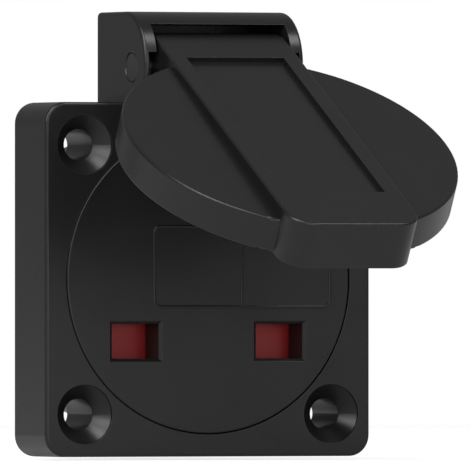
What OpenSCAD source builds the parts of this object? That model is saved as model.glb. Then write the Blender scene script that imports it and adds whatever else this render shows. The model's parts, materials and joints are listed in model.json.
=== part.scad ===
// Panel socket outlet with a square flange and a hinged splash lid.
// X runs right, Y runs back into the panel, Z runs up.
// Y = 0 is the panel's face. The origin is the centre of the four fixing holes on it.

/* [Flange] */
// Width and height of the square flange
flange_w = 50; // [49:0.5:56]
// Thickness of the flange
flange_t = 11.4; // [11.2:0.1:12.5]
// Radius of the flange's corners seen from the front
flange_corner_r = 3; // [1.5:0.5:4]
// Radius that rounds every outer edge of the flange and the hinge box
edge_r = 0.45; // [0.3:0.05:0.6]
// Distance between neighbouring fixing holes
fixing_pitch = 38; // [37.5:0.1:39]
// Diameter of the fixing holes
fixing_d = 4.4; // [4:0.1:4.8]
// Diameter of the countersinks
countersink_d = 8.4; // [8:0.1:8.8]
// Straight step at the mouth of a countersink
countersink_step = 0.4; // [0.2:0.1:0.8]

/* [Insert] */
// Diameter of the round socket face
face_d = 43.5; // [43:0.1:44]
// Thickness of the socket face
face_t = 5; // [4.6:0.1:5.2]
// Gap all round between the socket face and the flange
face_gap = 0.12; // [0.1:0.01:0.2]
// Distance between the line and the neutral apertures
pin_pitch_x = 22.2; // [22:0.1:22.4]
// Height of the earth aperture above the other two
pin_pitch_z = 22.2; // [22:0.1:22.4]
// Drop of the line and neutral apertures below the centre
pin_drop = 8.7; // [8.4:0.1:8.9]
// Width of a line or neutral aperture
aperture_w = 7.2; // [7:0.1:7.4]
// Height of a line or neutral aperture
aperture_h = 4.9; // [4.7:0.1:5]
// Width of the earth aperture
earth_w = 4.9; // [4.7:0.1:5]
// Height of the earth aperture
earth_h = 8.8; // [8.6:0.1:9]
// Chamfer round the apertures
aperture_chamfer = 0.43; // [0.2:0.05:0.5]

/* [Shutter] */
// Thickness of the shutter's blades
shutter_t = 1.8; // [1.5:0.1:1.9]
// Angle that the shutter turns between shut and open
shutter_travel = 32; // [31:0.5:33]
// Clearance in front of the shutter
shutter_gap = 0.2; // [0.15:0.05:0.3]
// Radius of the shutter's pivot post
post_r = 2; // [1.8:0.1:2.2]

/* [Rear body] */
// Radius of the round spigot that passes through the panel
spigot_r = 21.2; // [21:0.05:21.3]
// Length of the round spigot behind the panel's face
spigot_l = 8; // [6:0.5:8.5]
// Radius of the rear body behind the spigot
body_r = 20.7; // [20.4:0.1:20.9]
// Half width of the rear body between its flats
body_half_w = 16; // [15.8:0.1:16.4]
// Depth of the contact carrier behind the panel's face
carrier_l = 17; // [16.8:0.1:18]
// Thickness of the rear cover
cover_t = 3; // [2.6:0.1:3.2]

/* [Hinge box] */
// Width of the hinge box
box_w = 24.5; // [24.4:0.1:25.2]
// Height of its top above the centre
box_top = 37.8; // [37.6:0.1:38.5]
// Depth of the hinge box from the panel's face to its front
box_l = 17.1; // [16.8:0.1:18.2]
// Radius of its rounded front
box_front_r = 7.4; // [7:0.1:8.2]
// Gap between the insides of its cheeks
cheek_gap = 20.7; // [20.6:0.1:21]
// Extra room that the front of each cheek leaves on its inside
cheek_relief = 1.25; // [1:0.05:1.4]
// Thickness of its top wall
box_roof_t = 1.8; // [1.6:0.1:2]
// Thickness of its back wall
box_back_t = 1.5; // [1.2:0.1:2]
// Height of the hinge axis above the centre
hinge_z = 29.9; // [29.8:0.1:30.1]
// Distance of the hinge axis in front of the panel's face
hinge_y = 12.25; // [12.2:0.05:12.4]
// Radius of the hinge pin
hinge_pin_r = 2; // [1.8:0.1:2.1]
// Running clearance of the lid on its pin
hinge_clearance = 0.05; // [0.03:0.01:0.08]

/* [Lid] */
// Angle that the lid stands open as drawn
lid_open = 60; // [0:5:90]
// Radius of the round lid
lid_r = 24; // [23.8:0.05:24.3]
// Distance from the hinge axis to the centre of the round lid
lid_reach = 29.3; // [29.2:0.1:29.6]
// Height of the round lid's top over the hinge axis
lid_top = 4.45; // [4.4:0.05:4.6]
// Thickness of the round lid
lid_t = 5.2; // [5:0.05:5.2]
// Width of the bar across the lid
bar_w = 20; // [19.4:0.1:20.1]
// Distance from the hinge axis to the bar's tip
bar_l = 54.2; // [54:0.1:54.6]
// Height of the bar over the round lid
bar_rise = 1; // [0.9:0.1:1.1]
// Corner radius at the bar's tip
bar_tip_r = 3.6; // [2:0.1:4.5]
// Width of the shallow field in the bar
field_w = 15; // [12:0.1:15.4]
// Length of the shallow field
field_l = 38.6; // [30:0.1:40]
// Distance from the bar's tip to the field
field_tip = 9.1; // [8.5:0.1:12]
// Depth of the shallow field
field_depth = 0.7; // [0.4:0.1:0.8]
// Thickness of the lid's top wall
lid_wall = 2; // [1.9:0.1:2.2]
// Thickness of the lid's skirt
lid_skirt = 1.65; // [1.5:0.05:2]
// Edge rounding of the lid
lid_edge_r = 0.35; // [0.2:0.05:0.4]

/* [Springs and seals] */
// Wire radius of the lid's spring
lid_wire_r = 0.45; // [0.35:0.05:0.5]
// Full turns of the lid's spring
lid_turns = 6; // [4:1:6]
// Wire radius of the shutter's spring
shutter_wire_r = 0.3; // [0.2:0.05:0.35]
// Full turns of the shutter's spring
shutter_turns = 4; // [3:1:5]
// Width of the lid's seal ring
lid_seal_w = 2.4; // [2:0.1:3]
// Thickness of the gasket between the face and the flange
face_seal_t = 0.8; // [0.6:0.1:1]
// Width of the panel gasket
panel_seal_w = 1.8; // [1.2:0.1:2]
// Depth of the panel gasket's groove
panel_seal_t = 0.8; // [0.6:0.1:1]

/* [Contacts] */
// Thickness of the contact strip
strip_t = 0.6; // [0.5:0.05:0.7]
// Gap between the leaves of an unmated contact
leaf_gap = 3.7; // [3.5:0.05:3.9]
// Width of a line or neutral contact
contact_w = 6.2; // [5.8:0.1:6.4]
// Width of the earth contact
earth_contact_w = 7.4; // [7:0.1:7.8]
// Thickness of the spring clips
clip_t = 0.4; // [0.3:0.05:0.5]
// Radius of the wire holes in the terminals
wire_r = 1.7; // [1.5:0.1:1.8]
// Radius of the terminal screws
terminal_screw_r = 1.75; // [1.5:0.05:1.8]
// Radius of the assembly screws
assembly_screw_r = 1.5; // [1.3:0.05:1.5]

/* [Hidden] */
$fn = 96;
eps = 0.01;

// Front and back planes of the stack, in Y
face_front = -flange_t;
face_back = face_front + face_t;
ledge_front = -3.5;
ledge_back = -1.5;
ledge_r = 20;
face_r = face_d / 2;
skirt_inner_r = ledge_r + 0.1;
skirt_back = ledge_front - face_seal_t;
shutter_front = face_back + shutter_gap;
shutter_back = shutter_front + shutter_t;
carrier_front = shutter_back + 0.35;
carrier_wall_back = -2.3;
nose_r = ledge_r - 0.3;
shoulder_r = spigot_r - 0.5;
spigot_front = 0.5;
cover_back = carrier_l + cover_t;

// Places of the three pins, as [x, z]
line_at = [pin_pitch_x / 2, -pin_drop];
neutral_at = [-pin_pitch_x / 2, -pin_drop];
earth_at = [0, pin_pitch_z - pin_drop];

// Rounding of the face's edge, and the running fit of the rear body's shoulder
face_edge_r = 0.25;
fit_gap = 0.2;

// Assembly screws, their bosses and their holes
assembly_x = 7.5;
assembly_z = 4;
boss_r = 2.7;
assembly_tip = face_front + 1.8;
assembly_head_r = 2.75;
assembly_head_t = 1.8;
screw_gap = 0.1;
slot_w = 0.8;
slot_l = 7;
slot_depth = 1;

// Pockets of the contact carrier
pocket_w = 8.2;
pocket_h = 7.8;
earth_pocket_w = 8.2;
earth_pocket_h = 10;
earth_pocket_front = 0.3;
spring_pocket_r = 4.6;
spring_pocket_back = 1.2;
earth_channel_w = 5.2;
strap_slot_w = 5;
cover_rib_w = 1.2;
cover_rib_l = 0.6;

// Contacts and terminals along Y
contact_front = carrier_wall_back + 0.3;
contact_base = 6.8;
earth_contact_front = earth_pocket_front + 0.4;
earth_base = 11.8;
earth_clip_w = earth_h - 0.4;
earth_strap_w = strap_slot_w - fit_gap;
leaf_mouth = 0.7;
leaf_mouth_l = 1.4;
leaf_grip_l = 4.5;
leaf_root = 0.3;
leaf_root_l = 1.5;
clip_from = leaf_mouth_l + 0.1;
clip_lip = 0.6;
terminal_l = 6;
terminal_w = 7;
terminal_h = 6.2;
earth_terminal_z = 2.5;
wire_offset = 2.7;
screw_head_r = 2.8;
screw_head_t = 1.9;
screw_lift = 0.7;

// Earth cam of the shutter
cam_inner = 11.5;
cam_outer = 15.5;
cam_lead = -3.4;
cam_trail = 6.6;
cam_back = -0.9;
cam_pocket_back = -0.5;
cam_clear_out = 1.6;
cam_clear_in = 0.6;
// Angles that the cam's sweep reaches to either side of the top
cam_right = 32.5;
cam_left = 51.3;

// Shutter's hub, arms and spring peg
hub_wall = 2.2;
blade_lap = 1.2;
arm_w = 3;
cam_arm_left = -0.8;
cam_arm_w = 3.4;
peg_r = 0.5;
peg_h = 1.4;
peg_z = 4;

// Hinge and lid, seen in the lid's own frame: axis at the origin,
// the lid hangs along -Z and its top faces -Y
bar_top = lid_top + bar_rise;
lid_under = lid_t - lid_top;
barrel_r = bar_top - 0.55;
barrel_relief_r = bar_top + 0.3;
box_bottom = flange_w / 2 - 1.8;
box_roof = box_top - box_roof_t;
box_floor = flange_w / 2;
box_corner_r = 0.8;
box_low_r = 4.5;
cheek_relief_l = 3;
cheek_relief_top = 32;
pin_sink = 0.1;
pin_chamfer = 0.25;
lid_cavity_r = lid_r - lid_skirt;
spring_half_w = 4.6;
lid_spring_leg = barrel_r + 2;
spring_mean_r = hinge_pin_r + 1.1;
spring_slot_r = spring_mean_r + 1;

// ---------------------------------------------------------------- helpers

// Solid between two Y planes from an outline drawn in X and Z
module slab(y_front, y_back) {
  translate([0, y_back, 0]) rotate([90, 0, 0])
    linear_extrude(y_back - y_front) children();
}

// Solid between two X planes from an outline drawn in Y and Z
module side_slab(x_left, x_right) {
  translate([x_left, 0, 0]) rotate([90, 0, 90])
    linear_extrude(x_right - x_left) children();
}

// Round rod along Y at [x, z]
module rod(r, y_front, y_back, at = [0, 0]) {
  translate([at[0], y_back, at[1]]) rotate([90, 0, 0])
    cylinder(r = r, h = y_back - y_front);
}

// Round rod along X at [y, z]
module cross_rod(r, x_left, x_right, at) {
  translate([x_left, at[0], at[1]]) rotate([0, 90, 0])
    cylinder(r = r, h = x_right - x_left);
}

// Flat ring along Y
module ring(outer, inner, y_front, y_back) {
  difference() {
    rod(outer, y_front, y_back);
    rod(inner, y_front - 1, y_back + 1);
  }
}

// Box along Y, centred on [x, z]
module bar_box(w, h, y_front, y_back, at = [0, 0]) {
  translate([at[0] - w / 2, y_front, at[1] - h / 2])
    cube([w, y_back - y_front, h]);
}

// Rectangle with its own radius at each corner: [top right, top left, bottom left, bottom right]
module round_rect(w, h, radii) {
  difference() {
    square([w, h], center = true);
    for (k = [0:3]) corner_place(w, h, k, 0) square(2 * radii[k], center = true);
  }
  for (k = [0:3]) corner_place(w, h, k, radii[k]) intersection() {
    circle(radii[k]);
    square(radii[k]);
  }
}

// Puts a child at corner k, moved in by r both ways
module corner_place(w, h, k, r) {
  across = k % 2 == 0 ? w / 2 : h / 2;
  along = k % 2 == 0 ? h / 2 : w / 2;
  rotate(90 * k) translate([across - r, along - r]) children();
}

// Section of a rounded edge: front is at the top, and both ends may be rounded
module edge_section(t, r, round_back) {
  low = round_back ? r : 0;
  translate([0, low]) square([r, t - r - low]);
  translate([0, t - r]) intersection() {
    circle(r);
    square(r);
  }
  if (round_back) translate([0, r]) intersection() {
    circle(r);
    translate([0, -r]) square(r);
  }
}

// Plate with rounded corners and rounded edges, back on Z = 0
module soft_plate(w, h, t, radii, r, round_back = true) {
  linear_extrude(t) round_rect(w - 2 * r, h - 2 * r, [for (c = radii) c - r]);
  for (k = [0:3]) {
    across = k % 2 == 0 ? w / 2 : h / 2;
    along = k % 2 == 0 ? h / 2 : w / 2;
    next = radii[(k + 3) % 4];
    rotate(90 * k) {
      translate([across - r, along - radii[k], 0]) rotate([90, 0, 0])
        linear_extrude(2 * along - radii[k] - next) edge_section(t, r, round_back);
      translate([across - radii[k], along - radii[k], 0])
        rotate_extrude(angle = 90) translate([radii[k] - r, 0]) edge_section(t, r, round_back);
    }
  }
}

// Rectangular passage along Y whose mouth at the front is chamfered
module chamfered_slot(w, h, y_front, y_back, at, c) {
  bar_box(w, h, y_front - 1, y_back, at);
  translate([at[0], y_front, at[1]]) intersection() {
    translate([0, 0, -h]) linear_extrude(2 * h) mouth_section(w, c);
    rotate([0, 90, 0]) translate([0, 0, -w]) linear_extrude(2 * w) mouth_section(h, c);
  }
}

// Section across a chamfered mouth
module mouth_section(w, c) {
  polygon([[-w / 2 - 2 * c, -c], [w / 2 + 2 * c, -c], [w / 2, c], [-w / 2, c]]);
}

// Outline of the rear body: a circle with two flats
module body_outline() {
  intersection() {
    circle(body_r);
    square([2 * body_half_w, 3 * body_r], center = true);
  }
}

// Puts a child in place on the open lid, drawn in the lid's own frame
module on_lid() {
  translate([0, -hinge_y, hinge_z]) rotate([-lid_open, 0, 0]) children();
}

// Wire coil about Z with a straight leg at each end, from angle 0 to the end angle
module coil(mean_r, wire_r, end_angle, pitch, first_leg, last_leg) {
  sides = 8;
  steps = ceil(end_angle / 18);
  angles = [0, for (i = [0:steps]) i * end_angle / steps, end_angle];
  shifts = [-first_leg, for (i = [0:steps]) 0, last_leg];
  count = len(angles);
  points = [
    for (i = [0:count - 1]) for (k = [0:sides - 1])
      let (a = angles[i], s = 360 * k / sides)
      [cos(a), sin(a), 0] * (mean_r + wire_r * cos(s))
      + [-sin(a), cos(a), 0] * shifts[i]
      + [0, 0, pitch * a / 360 + wire_r * sin(s)]
  ];
  faces = [
    [for (k = [0:sides - 1]) k],
    for (i = [0:count - 2]) for (k = [0:sides - 1])
      let (n = (k + 1) % sides, a = i * sides, b = a + sides)
      [a + k, b + k, b + n, a + n],
    [for (k = [sides - 1:-1:0]) (count - 1) * sides + k]
  ];
  polyhedron(points, faces, convexity = 8);
}

// ---------------------------------------------------------------- flange

// Square flange with the hinge box moulded on its top edge
module flange_housing() {
  color([0.17, 0.17, 0.16]) difference() {
    union() {
      rotate([90, 0, 0])
        soft_plate(flange_w, flange_w, flange_t, [for (k = [0:3]) flange_corner_r], edge_r);
      hinge_box();
    }
    insert_bores();
    for (x = [-1, 1]) for (z = [-1, 1])
      translate([x * fixing_pitch / 2, 0, z * fixing_pitch / 2]) fixing_hole();
    hinge_box_cavity();
    panel_seal_ring(1);
  }
}

// Block that carries the hinge, with a rounded front
module hinge_box() {
  tall = box_top - box_bottom;
  translate([-box_w / 2, -box_l / 2, box_bottom + tall / 2]) rotate([90, 0, 90])
    soft_plate(box_l, tall, box_w, [box_corner_r, box_front_r, box_low_r, box_corner_r], edge_r);
}

// Stepped bore that takes the socket face from the front and the carrier from the back
module insert_bores() {
  rod(face_r + face_gap, face_front - 1, ledge_front);
  rod(ledge_r, ledge_front - 1, ledge_back + 1);
  rod(shoulder_r + fit_gap, ledge_back, 1);
}

// Through hole with a countersink at the front
module fixing_hole() {
  rod(fixing_d / 2, -flange_t - 1, 1);
  rod(countersink_d / 2, -flange_t - 1, -flange_t + countersink_step);
  cone_l = (countersink_d - fixing_d) / 2;
  translate([0, -flange_t + countersink_step, 0]) rotate([-90, 0, 0])
    cylinder(r1 = countersink_d / 2, r2 = fixing_d / 2, h = cone_l);
}

// Space inside the hinge box for the barrel, the spring and the arm
module hinge_box_cavity() {
  half = cheek_gap / 2;
  side_slab(-half, half) union() {
    translate([-box_l - 1, box_floor]) square([box_l + 1 - box_back_t, box_roof - box_floor]);
    translate([-box_l - 1, box_bottom - 1]) square([box_l + 1 - flange_t, box_roof - box_floor]);
    translate([-hinge_y, hinge_z]) circle(barrel_relief_r);
  }
  // relief that thins the front of each cheek
  translate([-half - cheek_relief, -box_l - 1, box_bottom - 1])
    cube([2 * (half + cheek_relief), 1 + cheek_relief_l, cheek_relief_top - box_bottom + 1]);
  cross_rod(hinge_pin_r, -box_w, box_w, [-hinge_y, hinge_z]);
  for (side = [0, 180]) translate([0, -hinge_y, hinge_z]) rotate([0, 90, side])
    translate([0, 0, box_w / 2 - pin_chamfer])
      cylinder(r1 = hinge_pin_r, r2 = hinge_pin_r + 2 * pin_chamfer, h = 2 * pin_chamfer);
}

// Gasket ring in the back of the flange; extra lengthens it to cut its groove
module panel_seal_ring(extra = 0) {
  ring(spigot_r + 1.2 + panel_seal_w, spigot_r + 1.2, -panel_seal_t, extra);
}

// Flat gasket that seals the flange on the panel
module panel_seal() {
  color([0.1, 0.1, 0.1]) panel_seal_ring();
}

// Steel pin on which the lid turns
module hinge_pin() {
  color([0.2, 0.2, 0.2])
    cross_rod(hinge_pin_r, pin_sink - box_w / 2, box_w / 2 - pin_sink, [-hinge_y, hinge_z]);
}

// ---------------------------------------------------------------- lid

// Round lid with a flat bar across it, a barrel at the hinge and a hollow underside
module lid() {
  color([0.2, 0.2, 0.19]) on_lid() difference() {
    union() {
      translate([0, 0, -lid_reach]) lid_disc();
      lid_bar();
      cross_rod(barrel_r, -bar_w / 2, bar_w / 2, [0, 0]);
    }
    translate([0, 0, -lid_reach]) rod(lid_cavity_r, -lid_top + lid_wall, lid_under + 1);
    lid_field();
    cross_rod(hinge_pin_r + hinge_clearance, -bar_w, bar_w, [0, 0]);
    lid_spring_slot();
  }
}

// Disc with rounded rims, its top towards -Y
module lid_disc() {
  r = lid_edge_r;
  translate([0, lid_under, 0]) rotate([90, 0, 0]) rotate_extrude() union() {
    square([lid_r - r, lid_t]);
    translate([lid_r - r, 0]) edge_section(lid_t, r, true);
  }
}

// Bar from the barrel to the tip, as deep as the lid so that its end forms a lip
module lid_bar() {
  translate([0, lid_under, -bar_l / 2]) rotate([90, 0, 0])
    soft_plate(bar_w, bar_l, bar_top + lid_under, [0.5, 0.5, bar_tip_r, bar_tip_r],
      lid_edge_r, false);
}

// Shallow rectangular field in the bar's top
module lid_field() {
  translate([-field_w / 2, -bar_top - 1, -bar_l + field_tip])
    cube([field_w, 1 + field_depth, field_l]);
}

// Room in the barrel for the spring, open at its back, with a hole for the spring's leg
module lid_spring_slot() {
  cross_rod(spring_slot_r, -spring_half_w, spring_half_w, [0, 0]);
  translate([-spring_half_w, 0, -barrel_r - 0.2])
    cube([2 * spring_half_w, barrel_r + 1, 2 * barrel_r + 1]);
  translate([lid_spring_end(), -spring_mean_r, -lid_spring_leg - 0.5])
    cylinder(r = lid_wire_r + 0.05, h = lid_spring_leg + 0.5);
}

// Soft ring under the lid that closes on the flange
module lid_seal() {
  color([0.12, 0.12, 0.12]) on_lid() translate([0, 0, -lid_reach])
    ring(lid_cavity_r, lid_cavity_r - lid_seal_w, -lid_top + lid_wall, lid_under);
}

// Pitch of the lid's spring and the X places of its two ends
lid_spring_pitch = 2 * lid_wire_r + 0.2;
lid_spring_angle = 360 * lid_turns + 180 - lid_open;
function lid_spring_start() = -lid_spring_pitch * lid_spring_angle / 720;
function lid_spring_end() = -lid_spring_start();

// Torsion spring on the hinge pin: one leg stands on the box's floor, one is in the lid
module lid_spring() {
  floor_leg = hinge_z - box_floor - 0.05;
  color([0.62, 0.62, 0.64]) translate([lid_spring_start(), -hinge_y, hinge_z])
    rotate([90, 0, 90]) coil(spring_mean_r, lid_wire_r, lid_spring_angle,
      lid_spring_pitch, floor_leg, lid_spring_leg);
}

// ---------------------------------------------------------------- insert

// Round face with three apertures, a skirt, two screw bosses and the shutter's post
module socket_face() {
  color([0.15, 0.15, 0.15]) difference() {
    union() {
      translate([0, face_back, 0]) rotate([90, 0, 0]) rotate_extrude() union() {
        square([face_r - face_edge_r, face_t]);
        translate([face_r - face_edge_r, 0]) edge_section(face_t, face_edge_r, false);
      }
      ring(face_r, skirt_inner_r, face_back - eps, skirt_back);
      for (side = [-1, 1])
        rod(boss_r, face_back - eps, carrier_front, [side * assembly_x, assembly_z]);
      rod(post_r, face_back - eps, spring_pocket_back - 0.4);
    }
    for (at = [line_at, neutral_at])
      chamfered_slot(aperture_w, aperture_h, face_front, face_back + 1, at, aperture_chamfer);
    chamfered_slot(earth_w, earth_h, face_front, face_back + 1, earth_at, aperture_chamfer);
    for (side = [-1, 1])
      rod(assembly_screw_r, assembly_tip, carrier_front + 1, [side * assembly_x, assembly_z]);
  }
}

// Gasket between the socket face's skirt and the ledge in the flange
module face_seal() {
  color([0.1, 0.1, 0.1]) ring(face_r, skirt_inner_r, skirt_back, ledge_front);
}

// ---------------------------------------------------------------- shutter

// Shutter that turns about the post: two blades and a ramp for the earth pin
module shutter() {
  color([0.45, 0.13, 0.13]) difference() {
    union() {
      slab(shutter_front, shutter_back) shutter_outline();
      shutter_cam();
      rod(peg_r, shutter_back - eps, shutter_back + peg_h, [0, peg_z]);
    }
    rotate([0, shutter_travel, 0]) {
      for (at = [line_at, neutral_at])
        bar_box(aperture_w, aperture_h, shutter_front - 1, shutter_back + 1, at);
      bar_box(earth_w, 12, shutter_front - 1, carrier_l, earth_at);
    }
    rod(post_r + 0.05, shutter_front - 1, shutter_back + 1);
  }
}

// Hub, blades and arms of the shutter
module shutter_outline() {
  blade_w = aperture_w + blade_lap;
  blade_h = aperture_h + blade_lap;
  circle(post_r + hub_wall);
  for (at = [line_at, neutral_at]) {
    translate(at) square([blade_w, blade_h], center = true);
    rotate(atan2(at[1], at[0])) translate([0, -arm_w / 2]) square([norm(at) - 2, arm_w]);
  }
  translate([cam_arm_left, 0]) square([cam_arm_w, cam_outer]);
}

// Ramp that the earth pin pushes aside, behind the earth aperture
module shutter_cam() {
  translate([0, 0, cam_inner]) linear_extrude(cam_outer - cam_inner) polygon([
    [cam_lead, shutter_front], [-earth_w / 2, shutter_front],
    [cam_trail, cam_back - 0.4], [cam_trail, cam_back], [cam_lead, cam_back]
  ]);
}

// Torsion spring that turns the shutter shut
module shutter_spring() {
  mean_r = post_r + 1.3;
  pitch = 2 * shutter_wire_r + 0.3;
  color([0.7, 0.7, 0.72])
    translate([0, shutter_back + 0.2 + shutter_wire_r, 0]) rotate([-90, 0, 0])
      coil(mean_r, shutter_wire_r, 360 * shutter_turns + 30, pitch, 1, 1);
}

// ---------------------------------------------------------------- rear body

// Moulded body that holds the contacts, closed at the front but for the pin passages
module contact_carrier() {
  color([0.16, 0.16, 0.16]) difference() {
    union() {
      rod(nose_r, carrier_front, ledge_back);
      rod(shoulder_r, ledge_back, spigot_front + eps);
      rod(spigot_r, spigot_front, spigot_l);
      slab(spigot_l - eps, carrier_l) body_outline();
    }
    for (at = [line_at, neutral_at]) pin_pocket(at);
    earth_pockets();
    rod(spring_pocket_r, carrier_front - 1, spring_pocket_back);
    for (side = [-1, 1])
      rod(assembly_screw_r + screw_gap, carrier_front - 1, carrier_l + 1,
        [side * assembly_x, assembly_z]);
  }
}

// Passage, pocket and side wire entry of the line or neutral contact
module pin_pocket(at) {
  bar_box(aperture_w, aperture_h, carrier_front - 1, carrier_wall_back + 1, at);
  bar_box(pocket_w, pocket_h, carrier_wall_back, carrier_l + 1, at);
  out = sign(at[0]) * body_half_w;
  cross_rod(wire_r + 0.6, min(out, at[0]) - 1, max(out, at[0]) + 1,
    [contact_base + strip_t + wire_offset, at[1]]);
}

// Sweep of the cam, then the earth contact's pocket, its terminal and its wire channel
module earth_pockets() {
  intersection() {
    ring(cam_outer + cam_clear_out, cam_inner - cam_clear_in, carrier_front - 1, cam_pocket_back);
    slab(carrier_front - 1, cam_pocket_back) polygon(2 * cam_outer * [
      [0, 0], [sin(cam_right), cos(cam_right)], [-sin(cam_left), cos(cam_left)]
    ]);
  }
  bar_box(earth_w, earth_h, carrier_front - 1, earth_pocket_front + 1, earth_at);
  bar_box(earth_pocket_w, earth_pocket_h, earth_pocket_front, carrier_l + 1, earth_at);
  terminal_top = earth_terminal_z + terminal_w / 2 + 0.3;
  bar_box(earth_pocket_w, 2 * terminal_top, terminal_front_earth() - 0.3, carrier_l + 1, [0, 0]);
  bar_box(strap_slot_w, 2 * terminal_top, terminal_front_earth() - 0.3, carrier_l + 1,
    [0, (terminal_top + earth_at[1]) / 2]);
  translate([-earth_channel_w / 2, terminal_front_earth() + fit_gap, -spigot_r - 1])
    cube([earth_channel_w, earth_channel_w, spigot_r]);
}

// Front plane of the earth terminal, which hangs in front of its strap
function terminal_front_earth() = earth_base - terminal_l;

// Cover that shuts the back, with access to the terminal screws
module rear_cover() {
  color([0.16, 0.16, 0.16]) difference() {
    union() {
      slab(carrier_l, cover_back) body_outline();
      for (side = [-1, 1])
        bar_box(cover_rib_w, pocket_h - cover_rib_l, carrier_l - cover_rib_l, carrier_l + eps,
          [side * (pin_pitch_x / 2 + (pocket_w - cover_rib_w) / 2 - 0.3), -pin_drop]);
    }
    for (at = [line_at, neutral_at, [0, earth_terminal_z]])
      rod(screw_head_r + 0.2, carrier_l - 1, cover_back + 1, at);
    for (side = [-1, 1]) {
      at = [side * assembly_x, assembly_z];
      rod(assembly_screw_r + screw_gap, carrier_l - 1, cover_back + 1, at);
      rod(assembly_head_r + 0.15, cover_back - assembly_head_t, cover_back + 1, at);
    }
  }
}

// Two long screws that clamp the insert and the rear body on the flange's ledge
module assembly_screws() {
  head_y = cover_back - assembly_head_t;
  color([0.7, 0.7, 0.72]) for (side = [-1, 1])
    translate([side * assembly_x, 0, assembly_z]) {
      difference() {
        rod(assembly_head_r, head_y, cover_back - 0.1);
        bar_box(slot_w, slot_l, cover_back - slot_depth, cover_back + 1);
      }
      rod(assembly_screw_r, assembly_tip + 0.2, head_y + eps);
    }
}

// ---------------------------------------------------------------- contacts

// Strip folded into two leaves that grip a pin; the leaves run along Y and close in Z
module leaf_contact(y_front, y_base, w) {
  inner = leaf_gap / 2;
  outer = inner + strip_t;
  outer_path = [
    [y_front, outer + leaf_mouth], [y_front + leaf_mouth_l, outer],
    [y_front + leaf_grip_l, outer], [y_base - leaf_root_l, outer + leaf_root],
    [y_base + strip_t, outer + leaf_root]
  ];
  inner_path = [
    [y_front, inner + leaf_mouth], [y_front + leaf_mouth_l, inner],
    [y_front + leaf_grip_l, inner], [y_base - leaf_root_l, inner + leaf_root],
    [y_base, inner + leaf_root]
  ];
  translate([-w / 2, 0, 0]) rotate([90, 0, 90]) linear_extrude(w) polygon(concat(
    outer_path, mirrored(outer_path), flipped(inner_path), inner_back(inner_path)
  ));
}

// The same points below the middle, from the last to the first
function mirrored(path) = [for (i = [len(path) - 1:-1:0]) [path[i][0], -path[i][1]]];
// The same points below the middle, in order
function flipped(path) = [for (p = path) [p[0], -p[1]]];
// The points from the last to the first
function inner_back(path) = [for (i = [len(path) - 1:-1:0]) path[i]];

// Spring clip round the leaves, open on one side
module leaf_clip(y_front, y_back, w) {
  inner = leaf_gap / 2 + strip_t;
  translate([0, y_back, 0]) rotate([90, 0, 0]) linear_extrude(y_back - y_front) difference() {
    square([w + 2 * clip_t + fit_gap, 2 * (inner + clip_t)], center = true);
    square([w + fit_gap, 2 * inner], center = true);
    translate([w / 2, 0]) square([w / 2, 2 * inner - clip_lip], center = true);
  }
}

// Brass block with a wire hole along X and a screw hole along Y, front face on Y = 0
module terminal_block() {
  difference() {
    translate([-terminal_w / 2, 0, -terminal_h / 2]) cube([terminal_w, terminal_l, terminal_h]);
    cross_rod(wire_r, -terminal_w, terminal_w, [wire_offset, 0]);
    rod(terminal_screw_r, wire_offset, terminal_l + 1);
  }
}

// Slotted screw whose tip stands in the wire hole, for a block with its front on Y = 0
module terminal_screw(head_y) {
  difference() {
    rod(screw_head_r, head_y, head_y + screw_head_t);
    bar_box(slot_w, slot_l, head_y + screw_head_t - slot_depth, head_y + screw_head_t + 1);
  }
  rod(terminal_screw_r, wire_offset + 0.2, head_y + eps);
}

module at_pin(at) { translate([at[0], 0, at[1]]) children(); }

module line_contact() {
  color([0.78, 0.62, 0.3]) at_pin(line_at) leaf_contact(contact_front, contact_base, contact_w);
}

module neutral_contact() {
  color([0.78, 0.62, 0.3]) at_pin(neutral_at)
    leaf_contact(contact_front, contact_base, contact_w);
}

// Earth contact: its leaves close in X, and a strap from its base reaches the terminal
module earth_contact() {
  strap_low = earth_terminal_z - terminal_w / 2;
  color([0.78, 0.62, 0.3]) difference() {
    union() {
      at_pin(earth_at) rotate([0, 90, 0])
        leaf_contact(earth_contact_front, earth_base, earth_contact_w);
      translate([-earth_strap_w / 2, earth_base, strap_low])
        cube([earth_strap_w, strip_t, earth_at[1] - strap_low]);
    }
    rod(terminal_screw_r + screw_gap, earth_base - 1, earth_base + 2, [0, earth_terminal_z]);
  }
}

module line_clip() {
  color([0.6, 0.6, 0.62]) at_pin(line_at)
    leaf_clip(contact_front + clip_from, contact_front + leaf_grip_l, contact_w);
}

module neutral_clip() {
  color([0.6, 0.6, 0.62]) at_pin(neutral_at) mirror([1, 0, 0])
    leaf_clip(contact_front + clip_from, contact_front + leaf_grip_l, contact_w);
}

module earth_clip() {
  color([0.6, 0.6, 0.62]) at_pin(earth_at) rotate([0, -90, 0])
    leaf_clip(earth_contact_front + clip_from, earth_contact_front + leaf_grip_l, earth_clip_w);
}

module line_terminal() {
  color([0.74, 0.6, 0.32])
    translate([line_at[0], contact_base + strip_t, line_at[1]]) terminal_block();
}

module neutral_terminal() {
  color([0.74, 0.6, 0.32])
    translate([neutral_at[0], contact_base + strip_t, neutral_at[1]]) terminal_block();
}

module earth_terminal() {
  color([0.74, 0.6, 0.32]) translate([0, terminal_front_earth(), earth_terminal_z])
    rotate([0, 90, 0]) terminal_block();
}

module terminal_screws() {
  color([0.7, 0.7, 0.72]) {
    for (at = [line_at, neutral_at])
      translate([at[0], contact_base + strip_t, at[1]]) terminal_screw(terminal_l + screw_lift);
    translate([0, terminal_front_earth(), earth_terminal_z])
      terminal_screw(terminal_l + strip_t + screw_lift);
  }
}

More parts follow.
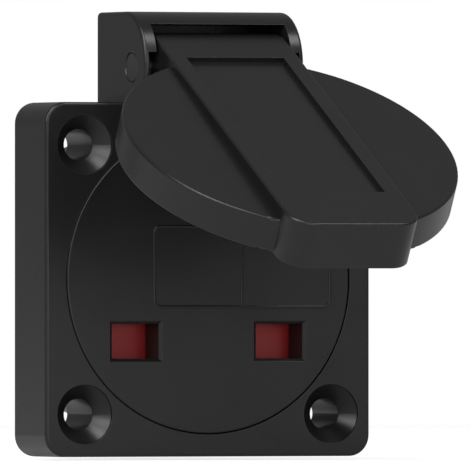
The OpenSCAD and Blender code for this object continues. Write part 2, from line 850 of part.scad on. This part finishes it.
flange_housing();
hinge_pin();
lid();
lid_seal();
lid_spring();
socket_face();
face_seal();
shutter();
shutter_spring();
contact_carrier();
rear_cover();
assembly_screws();
panel_seal();
line_contact();
neutral_contact();
earth_contact();
line_clip();
neutral_clip();
earth_clip();
line_terminal();
neutral_terminal();
earth_terminal();
terminal_screws();
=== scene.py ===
# %% [markdown]
# This script dresses a panel socket with a splash lid. The rigid pieces come from the CAD model
# with their true sizes, already in their places, so none of them is moved or changed. Blender adds
# what CAD draws badly: finishes, round spring wire, fine raised lines on a moulding, and light.
# Three pieces are replaced by finer ones that stand in the same place: the lid and two springs.

# %% Frame
import json
import math

import bmesh
import bpy
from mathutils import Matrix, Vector


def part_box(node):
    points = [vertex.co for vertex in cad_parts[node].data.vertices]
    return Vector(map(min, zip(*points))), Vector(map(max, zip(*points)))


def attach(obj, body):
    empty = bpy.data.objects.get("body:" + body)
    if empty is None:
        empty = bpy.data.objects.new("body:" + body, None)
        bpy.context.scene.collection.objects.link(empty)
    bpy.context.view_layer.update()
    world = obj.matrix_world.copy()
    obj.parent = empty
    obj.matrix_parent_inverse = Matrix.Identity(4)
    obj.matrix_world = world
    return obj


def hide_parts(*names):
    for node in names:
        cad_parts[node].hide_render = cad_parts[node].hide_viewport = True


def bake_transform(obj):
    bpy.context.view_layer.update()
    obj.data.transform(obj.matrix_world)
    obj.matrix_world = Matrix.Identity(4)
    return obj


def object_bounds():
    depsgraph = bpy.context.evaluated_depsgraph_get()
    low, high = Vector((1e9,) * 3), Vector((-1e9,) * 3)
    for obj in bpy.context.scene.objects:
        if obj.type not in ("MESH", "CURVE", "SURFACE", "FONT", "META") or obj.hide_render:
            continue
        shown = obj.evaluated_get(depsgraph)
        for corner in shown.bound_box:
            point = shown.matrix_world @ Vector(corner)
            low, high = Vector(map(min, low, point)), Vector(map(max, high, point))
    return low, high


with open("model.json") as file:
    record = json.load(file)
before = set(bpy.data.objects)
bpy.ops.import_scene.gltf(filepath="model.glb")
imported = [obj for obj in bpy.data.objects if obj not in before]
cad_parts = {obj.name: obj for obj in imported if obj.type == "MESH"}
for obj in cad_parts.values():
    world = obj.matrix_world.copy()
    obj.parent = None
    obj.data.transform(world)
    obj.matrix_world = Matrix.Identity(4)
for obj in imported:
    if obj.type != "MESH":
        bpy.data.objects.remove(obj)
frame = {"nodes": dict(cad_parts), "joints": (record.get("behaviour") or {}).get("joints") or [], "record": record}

MM = 0.001
nodes = frame["nodes"]
cad_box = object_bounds()
print("CAD nodes:", len(nodes), "box:", cad_box)

# %% [markdown]
# Every finish below is a small tree of shader nodes. Writing each link by hand hides the idea of
# the material, so one helper adds a node, sets its properties and fills its sockets. A socket
# takes either a plain value or another node's output. Colours are written as the hex values that
# a paint program shows, and one function turns them to the linear values that shaders need.

# %% Helpers for trees and colours
def add(tree, kind, sockets=(), **settings):
    """A new node with its settings, and its sockets set or linked, by name or number."""
    node = tree.nodes.new(kind)
    for name, value in settings.items():
        setattr(node, name, value)
    for key, value in dict(sockets).items():
        socket = node.inputs[key]
        if isinstance(value, bpy.types.NodeSocket):
            tree.links.new(value, socket)
        else:
            socket.default_value = value
    return node


def linear(hex_colour):
    """Linear RGBA of a hex sRGB colour."""
    parts = [int(hex_colour[i:i + 2], 16) / 255 for i in (1, 3, 5)]
    return [c / 12.92 if c <= 0.04045 else ((c + 0.055) / 1.055) ** 2.4 for c in parts] + [1]


def new_material(name):
    """An empty material: its tree, and the output node."""
    material = bpy.data.materials.new(name)
    material.use_nodes = True
    material.node_tree.nodes.clear()
    return material, material.node_tree, add(material.node_tree, "ShaderNodeOutputMaterial")


# %% [markdown]
# The housing, the lid and the face are injection-moulded black polyamide. The mould was spark
# eroded, which leaves a satin grain of about a tenth of a millimetre, so highlights are soft and
# broad. The grain is too fine to show at this size and is drawn at a fifth of a millimetre. A
# second, slower noise changes the gloss a little, as melt that cooled unevenly does. Real moulded
# edges are never sharp, and hands polish them first. The Bevel node rounds them in the shading
# alone, and where its normal leaves the true one, the edge is made glossier and its colour paler.
# The paler colour is partly polish from hands and partly a painted highlight: a bright line
# painted along every outer edge. The Ambient Occlusion node keeps the paler colour off inner
# corners.

# %% Moulded plastic
CLOUD_MM = 9
EDGE_GLOSS = -0.08


def moulded_plastic(name, dark, pale, worn_and_highlight, roughness, grain_mm=0.2, edge_mm=0.1):
    """Satin moulded thermoplastic, eroded grain, softened edges; outer edges paler as polish and painted
    highlight.
    """
    material, tree, out = new_material(name)
    place = add(tree, "ShaderNodeTexCoord").outputs["Object"]
    cloud = add(tree, "ShaderNodeTexNoise",
                {"Vector": place, "Scale": 1 / (CLOUD_MM * MM), "Detail": 3.0, "Roughness": 0.6})
    fine = add(tree, "ShaderNodeTexNoise",
               {"Vector": place, "Scale": 1 / (grain_mm * MM), "Detail": 2.0, "Roughness": 0.5})
    edge = add(tree, "ShaderNodeBevel", {"Radius": edge_mm * MM}, samples=8)
    true = add(tree, "ShaderNodeNewGeometry").outputs["Normal"]
    same = add(tree, "ShaderNodeVectorMath", {0: edge.outputs["Normal"], 1: true},
               operation="DOT_PRODUCT")
    turned = add(tree, "ShaderNodeMapRange", {
        "Value": same.outputs["Value"], "From Min": 0.99, "From Max": 0.85})
    openness = add(tree, "ShaderNodeAmbientOcclusion", {"Distance": 0.6 * MM}, samples=16)
    outer = add(tree, "ShaderNodeMapRange", {
        "Value": openness.outputs["AO"], "From Min": 0.75, "From Max": 0.95})
    # Mask of outer edges: partly polish from hands, partly a painted highlight.
    wear_and_highlight_mask = add(tree, "ShaderNodeMath",
                 {0: turned.outputs["Result"], 1: outer.outputs["Result"]},
                 operation="MULTIPLY")
    rounded = add(tree, "ShaderNodeMix", {
        0: outer.outputs["Result"], 4: true, 5: edge.outputs["Normal"]}, data_type="VECTOR")
    body = add(tree, "ShaderNodeMix",
               {0: cloud.outputs["Fac"], 6: linear(dark), 7: linear(pale)}, data_type="RGBA")
    # Outer edges get the paler colour: partly wear, partly a painted highlight.
    colour = add(tree, "ShaderNodeMix", {
        0: wear_and_highlight_mask.outputs["Value"], 6: body.outputs[2], 7: linear(worn_and_highlight)}, data_type="RGBA")
    satin = add(tree, "ShaderNodeMapRange", {
        "Value": cloud.outputs["Fac"], "From Min": 0.3, "From Max": 0.7,
        "To Min": roughness - 0.03, "To Max": roughness + 0.03})
    gloss = add(tree, "ShaderNodeMath", {
        0: wear_and_highlight_mask.outputs["Value"], 1: EDGE_GLOSS, 2: satin.outputs["Result"]},
        operation="MULTIPLY_ADD")
    bump = add(tree, "ShaderNodeBump", {
        "Height": fine.outputs["Fac"], "Strength": 0.1, "Distance": 0.03 * MM,
        "Normal": rounded.outputs[1]})
    shader = add(tree, "ShaderNodeBsdfPrincipled", {
        "Base Color": colour.outputs[2], "Roughness": gloss.outputs["Value"],
        "Normal": bump.outputs["Normal"], "IOR": 1.5, "Specular IOR Level": 0.4})
    tree.links.new(shader.outputs[0], out.inputs["Surface"])
    return material


# The third colour of each plastic is its paler outer edge: partly wear, partly a painted highlight.
black_plastic = moulded_plastic("black_moulded_polyamide", "#141414", "#1A1A19", "#2A2A29", 0.29)
red_plastic = moulded_plastic("red_moulded_polyamide", "#A81C20", "#B42024", "#B82428", 0.36)
print("plastics:", black_plastic.name, red_plastic.name)

# %% [markdown]
# The gaskets and the lid's seal ring are soft black rubber. Rubber is duller than plastic and its
# surface is slightly dusty from the mould's release agent, so the roughness is high and the
# colour drifts a little. No edge softening is needed, because rubber shows no bright edge line.

# %% Rubber
def moulded_rubber(name, dark, pale):
    """Matt black rubber with a faint bloom."""
    material, tree, out = new_material(name)
    place = add(tree, "ShaderNodeTexCoord").outputs["Object"]
    bloom = add(tree, "ShaderNodeTexNoise",
                {"Vector": place, "Scale": 1 / (2.5 * MM), "Detail": 5.0, "Roughness": 0.7})
    colour = add(tree, "ShaderNodeMix",
                 {0: bloom.outputs["Fac"], 6: linear(dark), 7: linear(pale)}, data_type="RGBA")
    bump = add(tree, "ShaderNodeBump",
               {"Height": bloom.outputs["Fac"], "Strength": 0.15, "Distance": 0.05 * MM})
    shader = add(tree, "ShaderNodeBsdfPrincipled", {
        "Base Color": colour.outputs[2], "Roughness": 0.75, "Normal": bump.outputs["Normal"]})
    tree.links.new(shader.outputs[0], out.inputs["Surface"])
    return material


black_rubber = moulded_rubber("black_nitrile_rubber", "#131313", "#1D1D1C")
print("rubber:", black_rubber.name)

# %% [markdown]
# The metal parts are rolled brass strip, turned brass blocks, zinc-plated screws, a blackened pin
# and drawn spring wire. The strip and the wire keep the marks of rolling and drawing along
# one direction, and a noise that is stretched along it gives their roughness and small height. The
# screws and the pin have the same marks in every direction.

# %% Metals
DRAWN_OUT = 12


def worked_metal(name, dark, pale, roughness, along=(1, DRAWN_OUT, DRAWN_OUT), mark_mm=0.12):
    """Metal with fine marks, drawn out along the axis whose scale is smallest."""
    material, tree, out = new_material(name)
    place = add(tree, "ShaderNodeTexCoord").outputs["Object"]
    drawn = add(tree, "ShaderNodeMapping", {"Vector": place, "Scale": along})
    marks = add(tree, "ShaderNodeTexNoise", {
        "Vector": drawn.outputs["Vector"], "Scale": 1 / (DRAWN_OUT * mark_mm * MM), "Detail": 4.0,
        "Roughness": 0.6})
    colour = add(tree, "ShaderNodeMix",
                 {0: marks.outputs["Fac"], 6: linear(dark), 7: linear(pale)}, data_type="RGBA")
    gloss = add(tree, "ShaderNodeMapRange", {
        "Value": marks.outputs["Fac"], "To Min": roughness - 0.08, "To Max": roughness + 0.08})
    edge = add(tree, "ShaderNodeBevel", {"Radius": 0.08 * MM}, samples=4)
    bump = add(tree, "ShaderNodeBump", {
        "Height": marks.outputs["Fac"], "Strength": 0.1, "Distance": 0.02 * MM,
        "Normal": edge.outputs["Normal"]})
    shader = add(tree, "ShaderNodeBsdfPrincipled", {
        "Base Color": colour.outputs[2], "Roughness": gloss.outputs["Result"],
        "Normal": bump.outputs["Normal"], "Metallic": 1.0})
    tree.links.new(shader.outputs[0], out.inputs["Surface"])
    return material


brass = worked_metal("rolled_brass", "#B08D4C", "#C9A664", 0.34)
spring_steel = worked_metal("drawn_spring_steel", "#8E8F92", "#B4B5B8", 0.3)
zinc_steel = worked_metal("zinc_plated_steel", "#A3A6AA", "#C6C9CC", 0.36, along=(1, 1, 1))
dark_steel = worked_metal("blackened_steel", "#4A4A4A", "#5A5A5A", 0.42, along=(1, 1, 1))
print("metals:", brass.name, spring_steel.name, zinc_steel.name, dark_steel.name)

# %% [markdown]
# The frame brings every rigid piece at its real place, so most of the dressing is giving each
# piece the right finish. The record names a slot for each node, and the slots map to finishes.

# %% Finishes on the frame's pieces
finish_of = {
    "black_plastic": black_plastic, "red_plastic": red_plastic, "black_rubber": black_rubber,
    "dark_steel": dark_steel, "spring_steel": spring_steel, "zinc_steel": zinc_steel,
    "brass": brass,
}
slot_of = {part["node"]: part["material_slot"] for part in frame["record"]["subparts"]}
for name, piece in nodes.items():
    finish = finish_of[slot_of[name]]
    if not piece.material_slots:
        piece.data.materials.append(finish)
    for place in piece.material_slots:
        place.material = finish
print("finished pieces:", len(nodes))

# %% [markdown]
# The bar across the lid is a finger grip that thickens towards its tip, by a little over one
# degree, and its tip reaches slightly past the disc. The CAD model has the bar level with the
# disc. A copy of the lid takes its place here, in which only the bar's top and tip are moved. The
# move depends on two measures in the lid's own plane: the reach from the hinge and the height
# over the pin. It is a shear, so flat faces stay flat, and the shading normals are turned with it.
# The shallow field in the bar's top is stretched a little along the bar.

# %% Tapered bar of the lid
LID_OPEN = math.radians(60)
DISC_TOP = 4.45 * MM
BARREL_RISE = 0.4 * MM
BAR_TAPER = 0.02
BAR_SINK = 0.18 * MM
DISC_END = 51.15 * MM
BAR_LONGER = 1.3 * MM
FIELD_END = 46 * MM
FIELD_HALF_WIDTH = 7.6 * MM
FIELD_STRETCH = 0.025


def taper_bar(lid, hinge):
    """A copy of the lid whose bar rises with the reach from the hinge and ends further out."""
    piece = lid.copy()
    piece.name = "lid_with_tapered_bar"
    piece.data = lid.data.copy()
    bpy.context.scene.collection.objects.link(piece)
    outwards = Vector((0, -math.sin(LID_OPEN), -math.cos(LID_OPEN)))
    upwards = Vector((0, -math.cos(LID_OPEN), math.sin(LID_OPEN)))
    mesh = piece.data
    normals = [corner.vector.copy() for corner in mesh.corner_normals]
    raised = set()
    for vertex in mesh.vertices:
        arm = vertex.co - hinge
        reach, height = arm.dot(outwards), arm.dot(upwards)
        if height > DISC_TOP and reach > 0 or height > DISC_TOP + BARREL_RISE:
            vertex.co += upwards * (BAR_TAPER * reach - BAR_SINK)
            if reach < FIELD_END and abs(vertex.co.x) < FIELD_HALF_WIDTH:
                vertex.co += outwards * FIELD_STRETCH * reach
            raised.add(vertex.index)
        if reach > DISC_END:
            vertex.co += outwards * BAR_LONGER
    for number, loop in enumerate(mesh.loops):
        if loop.vertex_index in raised:
            turned = normals[number] - outwards * BAR_TAPER * normals[number].dot(upwards)
            normals[number] = turned.normalized()
    mesh.normals_split_custom_set(normals)
    print(piece.name, "raised points:", len(raised))
    return piece


lid_hinge = next(j for j in frame["joints"] if j["name"] == "lid_hinge")
lid = taper_bar(nodes["lid"], Vector(lid_hinge["pos_m"]))
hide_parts("lid")
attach(lid, "lid")

# %% [markdown]
# Two kinds of shape follow a rule: the wire springs and the raised outlines on the face. Each is
# a Geometry Nodes tree that is built here, with a named input for every size. One helper makes a
# tree with its inputs. Another runs a tree on an empty mesh and keeps only the resulting plain
# mesh, because a finished part must not depend on a live modifier.

# %% Helpers for Geometry Nodes
def new_shape_tree(name, inputs):
    """A Geometry Nodes tree with the named inputs: the tree, its inputs and its output node."""
    tree = bpy.data.node_groups.new(name, "GeometryNodeTree")
    for label, kind in inputs.items():
        tree.interface.new_socket(name=label, in_out="INPUT", socket_type=kind)
    tree.interface.new_socket(name="Shape", in_out="OUTPUT", socket_type="NodeSocketGeometry")
    return tree, add(tree, "NodeGroupInput").outputs, add(tree, "NodeGroupOutput")


def run_tree(name, tree, values):
    """An object at the origin whose mesh is what the tree makes from the values."""
    piece = bpy.data.objects.new(name, bpy.data.meshes.new(name))
    bpy.context.scene.collection.objects.link(piece)
    modifier = piece.modifiers.new("shape", "NODES")
    modifier.node_group = tree
    for item in tree.interface.items_tree:
        if item.in_out == "INPUT":
            modifier[item.identifier] = values[item.name]
    evaluated = piece.evaluated_get(bpy.context.evaluated_depsgraph_get())
    made = bpy.data.meshes.new_from_object(evaluated)
    piece.modifiers.clear()
    piece.data = made
    shell = bmesh.new()
    shell.from_mesh(made)
    bmesh.ops.remove_doubles(shell, verts=shell.verts, dist=0.0001 * MM)
    bmesh.ops.recalc_face_normals(shell, faces=shell.faces)
    shell.to_mesh(made)
    print(name, "faces:", len(shell.faces), "volume:", round(shell.calc_volume() * 1e9, 3), "mm3")
    shell.free()
    return piece


# %% [markdown]
# Both springs are torsion springs: a close helix of drawn steel wire whose ends leave along the
# tangent as straight legs. The lid's spring sits on the hinge pin, with one leg on the floor of
# the hinge box and one in the lid. The shutter's spring sits on the pivot behind the face. A line
# is resampled, and each point is set by its index: its angle grows along the helix, and only the
# first and the last point slide along the tangent, which makes the legs. Turning the vector
# (radius, leg, rise) about Z does all of that in one node. A round profile then follows the line.
# The coil has a point every nine degrees and one at its start, and the legs' two ends make three
# points more than there are steps. Sizes are in millimetres and degrees.

# %% Wire springs
DEGREES_PER_POINT = 9
EXTRA_POINTS = 3


def spring_tree():
    """Tree of a torsion spring with two straight legs."""
    tree, given, out = new_shape_tree("torsion_spring", {
        "Mean radius": "NodeSocketFloat", "Wire radius": "NodeSocketFloat",
        "Angle": "NodeSocketFloat", "Pitch": "NodeSocketFloat",
        "First leg": "NodeSocketFloat", "Last leg": "NodeSocketFloat",
        "Points": "NodeSocketInt", "Place": "NodeSocketVector", "Turn": "NodeSocketVector",
        "Finish": "NodeSocketMaterial"})
    line = add(tree, "GeometryNodeCurvePrimitiveLine")
    points = add(tree, "GeometryNodeResampleCurve",
                 {"Curve": line.outputs[0], "Count": given["Points"]})
    index = add(tree, "GeometryNodeInputIndex").outputs[0]
    last = add(tree, "ShaderNodeMath", {0: given["Points"], 1: 1.0}, operation="SUBTRACT")
    span = add(tree, "ShaderNodeMath", {0: given["Points"], 1: EXTRA_POINTS},
               operation="SUBTRACT")
    before = add(tree, "ShaderNodeMath", {0: index, 1: 1.0}, operation="SUBTRACT")
    share = add(tree, "ShaderNodeMath", {0: before.outputs[0], 1: span.outputs[0]},
                operation="DIVIDE", use_clamp=True)
    angle = add(tree, "ShaderNodeMath", {0: share.outputs[0], 1: given["Angle"]},
                operation="MULTIPLY")
    turns = add(tree, "ShaderNodeMath", {0: angle.outputs[0], 1: 2 * math.pi},
                operation="DIVIDE")
    rise = add(tree, "ShaderNodeMath", {0: turns.outputs[0], 1: given["Pitch"]},
               operation="MULTIPLY")
    is_first = add(tree, "ShaderNodeMath", {0: index, 1: 0.5}, operation="LESS_THAN")
    near_last = add(tree, "ShaderNodeMath", {0: last.outputs[0], 1: 0.5}, operation="SUBTRACT")
    is_last = add(tree, "ShaderNodeMath", {0: index, 1: near_last.outputs[0]},
                  operation="GREATER_THAN")
    back = add(tree, "ShaderNodeMath", {0: is_first.outputs[0], 1: given["First leg"]},
               operation="MULTIPLY")
    leg = add(tree, "ShaderNodeMath", {0: is_last.outputs[0], 1: given["Last leg"]},
              operation="MULTIPLY")
    slide = add(tree, "ShaderNodeMath", {0: leg.outputs[0], 1: back.outputs[0]},
                operation="SUBTRACT")
    flat = add(tree, "ShaderNodeCombineXYZ",
               {0: given["Mean radius"], 1: slide.outputs[0], 2: rise.outputs[0]})
    wound = add(tree, "ShaderNodeVectorRotate",
                {"Vector": flat.outputs[0], "Angle": angle.outputs[0]}, rotation_type="Z_AXIS")
    path = add(tree, "GeometryNodeSetPosition",
               {"Geometry": points.outputs[0], "Position": wound.outputs[0]})
    wire = add(tree, "GeometryNodeCurvePrimitiveCircle",
               {"Resolution": 14, "Radius": given["Wire radius"]})
    tube = add(tree, "GeometryNodeCurveToMesh", {
        "Curve": path.outputs[0], "Profile Curve": wire.outputs[0], "Fill Caps": True})
    smooth = add(tree, "GeometryNodeSetShadeSmooth", {"Geometry": tube.outputs[0]})
    placed = add(tree, "GeometryNodeTransform", {
        "Geometry": smooth.outputs[0], "Translation": given["Place"], "Rotation": given["Turn"]})
    real = add(tree, "GeometryNodeRealizeInstances", {"Geometry": placed.outputs[0]})
    done = add(tree, "GeometryNodeSetMaterial",
               {"Geometry": real.outputs[0], "Material": given["Finish"]})
    tree.links.new(done.outputs[0], out.inputs[0])
    return tree


torsion_spring = spring_tree()
LID_ANGLE = 2280
LID_PITCH = 1.1
SHUTTER_ANGLE = 1470
hinge = [c / MM for c in lid_hinge["pos_m"]]
springs = {
    "lid_spring": {
        "Mean radius": 3.1, "Wire radius": 0.45, "Angle": LID_ANGLE, "Pitch": LID_PITCH,
        "First leg": 4.85, "Last leg": 6.9,
        "Place": (-LID_PITCH * LID_ANGLE / 720, hinge[1], hinge[2]), "Turn": (90, 0, 90),
        "Along": (1, 0, 0), "Bodies": ("housing", "lid")},
    "shutter_spring": {
        "Mean radius": 3.3, "Wire radius": 0.3, "Angle": SHUTTER_ANGLE, "Pitch": 0.9,
        "First leg": 1.0, "Last leg": 1.0, "Place": (0, -3.9, 0), "Turn": (-90, 0, 0),
        "Along": (0, 1, 0), "Bodies": ("shutter", "housing")},
}
lengths = ("Mean radius", "Wire radius", "Pitch", "First leg", "Last leg")
for node, sizes in springs.items():
    values = {key: sizes[key] * MM for key in lengths}
    values["Angle"] = math.radians(sizes["Angle"])
    values["Points"] = sizes["Angle"] // DEGREES_PER_POINT + EXTRA_POINTS
    values["Place"] = [c * MM for c in sizes["Place"]]
    values["Turn"] = [math.radians(a) for a in sizes["Turn"]]
    values["Finish"] = spring_steel
    spring = run_tree(node + "_wire", torsion_spring, values)
    place = Vector(sizes["Place"]) * MM
    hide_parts(node)
    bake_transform(spring)

# %% [markdown]
# The face of such a socket carries a raised frame where its approval data are moulded. Here the
# frame is left empty, with the bar that divides it. Both are thin ribs of moulded plastic. One
# function builds the tree of a rib, and another draws the path that it follows: a rectangle whose
# corners are rounded, or a straight line. A small flattened hexagon follows the path as the
# section. The rib's root lies a little inside the face, which leaves no gap below it.

# %% Raised outlines on the face
def rounded_rectangle(tree, given):
    """Path around a rectangle with rounded corners."""
    outline = add(tree, "GeometryNodeCurvePrimitiveQuadrilateral",
                  {"Width": given["Width"], "Height": given["Height"]})
    rounded = add(tree, "GeometryNodeFilletCurve", {
        "Curve": outline.outputs[0], "Radius": given["Corner"], "Count": 8,
        "Limit Radius": True}, mode="POLY")
    return rounded.outputs[0]


def upright_line(tree, given):
    """Path straight up, with its middle in the rib's place."""
    half = add(tree, "ShaderNodeMath", {0: given["Height"], 1: 0.5}, operation="MULTIPLY")
    top = add(tree, "ShaderNodeCombineXYZ", {1: half.outputs[0]})
    foot = add(tree, "ShaderNodeVectorMath", {0: top.outputs[0], "Scale": -1.0},
               operation="SCALE")
    line = add(tree, "GeometryNodeCurvePrimitiveLine",
               {"Start": foot.outputs[0], "End": top.outputs[0]})
    return line.outputs[0]


def rib_tree(name, path, sizes):
    """Tree of a thin rib that follows a path in the face's plane."""
    tree, given, out = new_shape_tree(name, {
        **dict.fromkeys(sizes, "NodeSocketFloat"), "Rib": "NodeSocketFloat",
        "Flatness": "NodeSocketVector", "Place": "NodeSocketVector",
        "Finish": "NodeSocketMaterial"})
    half = add(tree, "ShaderNodeMath", {0: given["Rib"], 1: 0.5}, operation="MULTIPLY")
    section = add(tree, "GeometryNodeCurvePrimitiveCircle",
                  {"Resolution": 6, "Radius": half.outputs[0]})
    rib = add(tree, "GeometryNodeCurveToMesh", {
        "Curve": path(tree, given), "Profile Curve": section.outputs[0], "Fill Caps": True})
    upright = add(tree, "GeometryNodeTransform", {
        "Geometry": rib.outputs[0], "Translation": given["Place"],
        "Rotation": (math.pi / 2, 0, 0), "Scale": given["Flatness"]})
    real = add(tree, "GeometryNodeRealizeInstances", {"Geometry": upright.outputs[0]})
    done = add(tree, "GeometryNodeSetMaterial",
               {"Geometry": real.outputs[0], "Material": given["Finish"]})
    tree.links.new(done.outputs[0], out.inputs[0])
    return tree


FACE_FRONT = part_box("socket_face")[0][1] / MM
RIB = 0.5
RIB_FLATNESS = 0.6
RIB_SUNK = 0.03
RIBS_HEIGHT = 1.82
outlines = {
    "data_frame": (rounded_rectangle, {"Width": 27.1, "Height": 11.35, "Corner": 1.0}, 5.25),
    "data_divider": (upright_line, {"Height": 11.2}, 5.16),
}
for name, (path, sizes, across) in outlines.items():
    values = {key: size * MM for key, size in sizes.items()}
    values["Rib"] = RIB * MM
    values["Flatness"] = (1, 1, RIB_FLATNESS)
    values["Place"] = (across * MM, (FACE_FRONT + RIB_SUNK) * MM, RIBS_HEIGHT * MM)
    values["Finish"] = black_plastic
    rib = run_tree(name, rib_tree(name + "_rib", path, sizes), values)
    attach(rib, "housing")

# %% [markdown]
# The scene is a plain studio with a pale floor and four soft boxes. The key hangs above and to the
# left. The side box stands low on the left and draws the bright line along the moulded edges. A
# small one at the upper right catches the front rims of the lid and the hinge box, and a wide one
# far in front fills the shadows. Together they light a grey card about as bright as it is: a
# little less where it faces the front, and a little more where it faces up.

# %% Lamps
def soft_box(name, place, aim, size, power):
    """Square area lamp at place, turned to aim, in metres and watts."""
    lamp = bpy.data.lights.new(name, "AREA")
    lamp.shape = "SQUARE"
    lamp.size = size
    lamp.energy = power
    holder = bpy.data.objects.new(name, lamp)
    holder.location = place
    way = Vector(aim) - Vector(place)
    holder.rotation_euler = way.to_track_quat("-Z", "Y").to_euler()
    bpy.context.scene.collection.objects.link(holder)


centre = [(a + b) / 2 for a, b in zip(*cad_box)]
soft_boxes = {
    "key": ((-0.45, -0.5, 0.85), 0.6, 7.1),
    "side": ((-0.9, -0.4, 0.42), 0.5, 3.9),
    "edge": ((0.4, -0.5, 0.78), 0.3, 2.1),
    "front": ((0.0, -1.2, 0.3), 0.8, 4.6),
}
for name, (place, size, power) in soft_boxes.items():
    soft_box(name, place, centre, size, power)
print("lamps:", ", ".join(soft_boxes))

# %% [markdown]
# The white that the camera sees comes from the Light Path node, in the room and in part on the
# floor, which keeps the socket's shadow. Satin black shows what it mirrors more than its own
# colour, so mirrored rays meet only a share of that white: in a fully white room black plastic
# turns grey.

# %% Floor and room
def seen_share(tree, glossy):
    """1 for rays of the camera or through glass, and the given share for mirrored ones."""
    rays = add(tree, "ShaderNodeLightPath").outputs
    mirrored = add(tree, "ShaderNodeMath",
                   {0: rays["Is Glossy Ray"], 1: glossy, 2: rays["Is Camera Ray"]},
                   operation="MULTIPLY_ADD")
    both = add(tree, "ShaderNodeMath",
               {0: mirrored.outputs[0], 1: rays["Is Transmission Ray"]}, operation="ADD",
               use_clamp=True)
    return both.outputs[0]


FLOOR_HALF_WIDTH = 0.6
FLOOR_GAP = 0.5 * MM
FLOOR_GLOW = 0.75
FLOOR_MIRRORED = 0.3
ROOM_LIGHT = 0.16
ROOM_MIRRORED = 0.08

floor_mesh = bpy.data.meshes.new("floor")
low = cad_box[0][2] - FLOOR_GAP
corners = [(across * FLOOR_HALF_WIDTH, along * FLOOR_HALF_WIDTH, low)
           for across, along in ((-1, -1), (1, -1), (1, 1), (-1, 1))]
floor_mesh.from_pydata(corners, [], [(0, 1, 2, 3)])
floor = bpy.data.objects.new("floor", floor_mesh)
bpy.context.scene.collection.objects.link(floor)
material, tree, out = new_material("white_paper")
paper = add(tree, "ShaderNodeBsdfDiffuse", {"Color": linear("#BEBEBE")})
lift = add(tree, "ShaderNodeMath", {0: seen_share(tree, FLOOR_MIRRORED), 1: FLOOR_GLOW},
           operation="MULTIPLY")
glow = add(tree, "ShaderNodeEmission",
           {"Color": (1, 1, 1, 1), "Strength": lift.outputs[0]})
both = add(tree, "ShaderNodeAddShader", {0: paper.outputs[0], 1: glow.outputs[0]})
tree.links.new(both.outputs[0], out.inputs["Surface"])
floor.data.materials.append(material)

world = bpy.data.worlds.new("studio")
world.use_nodes = True
bpy.context.scene.world = world
tree = world.node_tree
tree.nodes.clear()
room = add(tree, "ShaderNodeBackground", {"Color": (1, 1, 1, 1), "Strength": ROOM_LIGHT})
white = add(tree, "ShaderNodeBackground", {"Color": (1, 1, 1, 1), "Strength": 1.0})
seen = add(tree, "ShaderNodeMixShader", {
    0: seen_share(tree, ROOM_MIRRORED), 1: room.outputs[0], 2: white.outputs[0]})
add(tree, "ShaderNodeOutputWorld", {"Surface": seen.outputs[0]})
print("floor at:", round(low / MM, 1), "mm")

# %% [markdown]
# The camera stands far off with a very long lens, a little to the left of the front and level with
# the socket, so parallel edges stay almost parallel.

# %% Camera
CAMERA_AZIMUTH = math.radians(-23.9)
CAMERA_ELEVATION = math.radians(-0.2)
CAMERA_DISTANCE = 2.5
WIDTH_SEEN = 66.65 * MM
SENSOR = 36.0
RIGHT_OF_ORIGIN = 8.38 * MM
ABOVE_ORIGIN = 6.33 * MM

camera_data = bpy.data.cameras.new("camera")
camera_data.sensor_width = SENSOR
camera_data.lens = SENSOR * CAMERA_DISTANCE / WIDTH_SEEN
camera_data.clip_end = 20
camera = bpy.data.objects.new("camera", camera_data)
sin_a, cos_a = math.sin(CAMERA_AZIMUTH), math.cos(CAMERA_AZIMUTH)
sin_e, cos_e = math.sin(CAMERA_ELEVATION), math.cos(CAMERA_ELEVATION)
back = (sin_a * cos_e, -cos_a * cos_e, sin_e)
aim = (RIGHT_OF_ORIGIN * cos_a, RIGHT_OF_ORIGIN * sin_a, ABOVE_ORIGIN)
camera.location = [a + b * CAMERA_DISTANCE for a, b in zip(aim, back)]
camera.rotation_euler = (math.pi / 2 - CAMERA_ELEVATION, 0, CAMERA_AZIMUTH)
bpy.context.scene.collection.objects.link(camera)
bpy.context.scene.camera = camera
bpy.context.scene.view_settings.view_transform = "Standard"
print("lens:", round(camera_data.lens), "mm")
